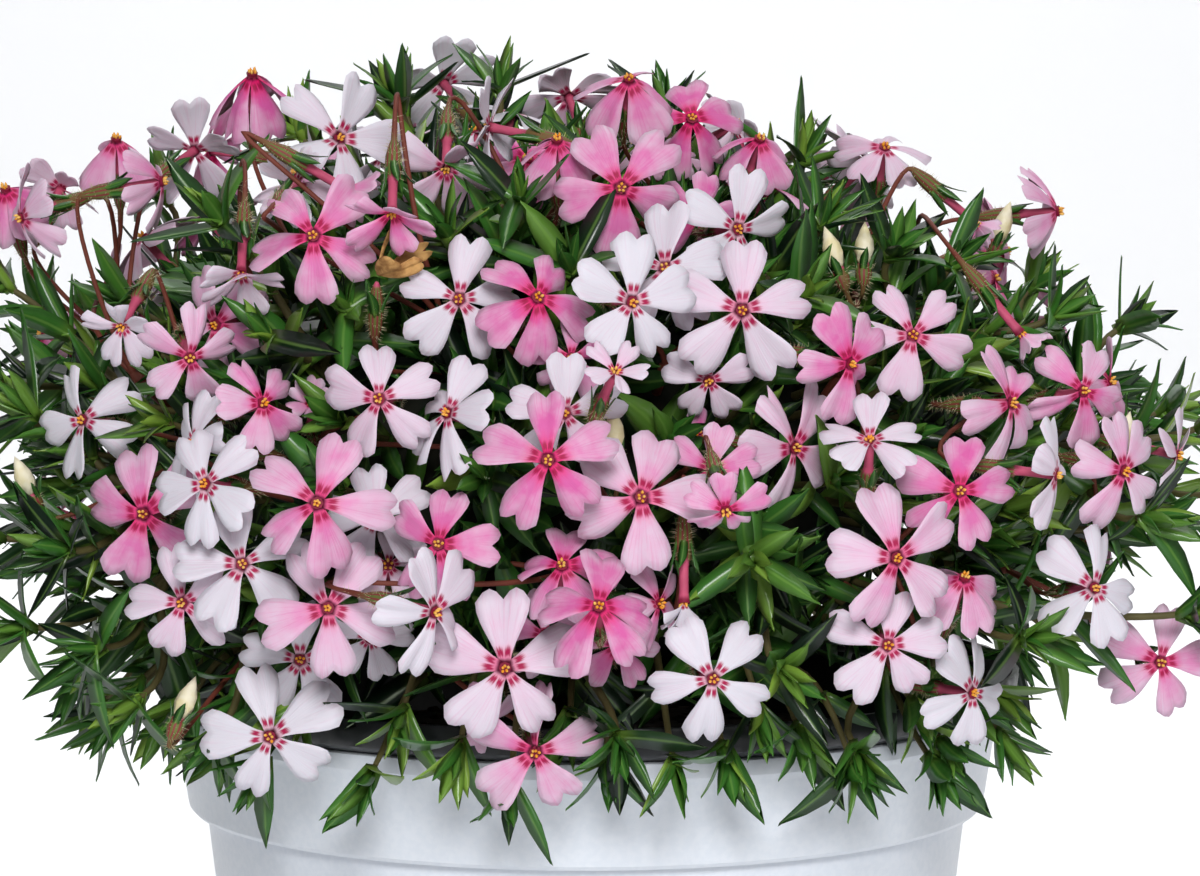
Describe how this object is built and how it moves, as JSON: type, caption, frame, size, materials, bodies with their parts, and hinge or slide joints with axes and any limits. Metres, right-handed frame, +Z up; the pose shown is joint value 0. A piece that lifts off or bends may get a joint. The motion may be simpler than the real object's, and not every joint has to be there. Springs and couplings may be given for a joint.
{
  "type": "potted phlox plant",
  "caption": "Creeping phlox in full flower: a mound of notched white to pink blooms with crimson eyes over needle leaves, in a white pot with a black grower pot inside.",
  "frame": {"origin": "centre of the pot's flat underside", "axes": "+Z up along the pot's axis, -Y towards the front of the plant, +X to the right of someone who looks at the front"},
  "size_m": [0.2742, 0.256, 0.2907],
  "materials": {
    "white_plastic": "satin, white with a cool tint",
    "black_plastic": "slightly glossy black",
    "potting_mix": "loose moist bark and peat",
    "petals": "soft matte petal",
    "leaves": "slightly glossy leaf"
  },
  "bodies": {
    "root": {"pot": "white_plastic", "grower_pot": "black_plastic", "potting_mix": "potting_mix", "leaf_cushion": "leaves", "leafy_stem_01": "leaves", "leafy_stem_02": "leaves", "leafy_stem_03": "leaves", "leafy_stem_04": "leaves", "leafy_stem_05": "leaves", "leafy_stem_06": "leaves", "leafy_stem_07": "leaves", "leafy_stem_08": "leaves", "leafy_stem_09": "leaves", "leafy_stem_10": "leaves", "leafy_stem_11": "leaves", "leafy_stem_12": "leaves", "leafy_stem_13": "leaves", "leafy_stem_14": "leaves", "leafy_stem_15": "leaves", "leafy_stem_16": "leaves", "leafy_stem_17": "leaves", "leafy_stem_18": "leaves", "leafy_stem_19": "leaves", "leafy_stem_20": "leaves", "flower_spray_01": "petals", "flower_spray_02": "petals", "flower_spray_03": "petals", "flower_spray_04": "petals", "flower_spray_05": "petals", "flower_spray_06": "petals", "flower_spray_07": "petals", "flower_spray_08": "petals", "flower_spray_09": "petals", "flower_spray_10": "petals", "flower_spray_11": "petals", "flower_spray_12": "petals", "flower_spray_13": "petals", "flower_spray_14": "petals", "flower_spray_15": "petals", "flower_spray_16": "petals", "flower_spray_17": "petals", "flower_spray_18": "petals", "flower_spray_19": "petals", "flower_spray_20": "petals", "flower_spray_21": "petals", "flower_spray_22": "petals", "flower_spray_23": "petals", "flower_spray_24": "petals", "flower_spray_25": "petals", "flower_spray_26": "petals", "flower_spray_27": "petals", "flower_spray_28": "petals", "flower_spray_29": "petals", "flower_spray_30": "petals", "flower_spray_31": "petals", "flower_spray_32": "petals", "flower_spray_33": "petals", "flower_spray_34": "petals", "flower_spray_35": "petals", "flower_spray_36": "petals"}
  },
  "joints": []
}
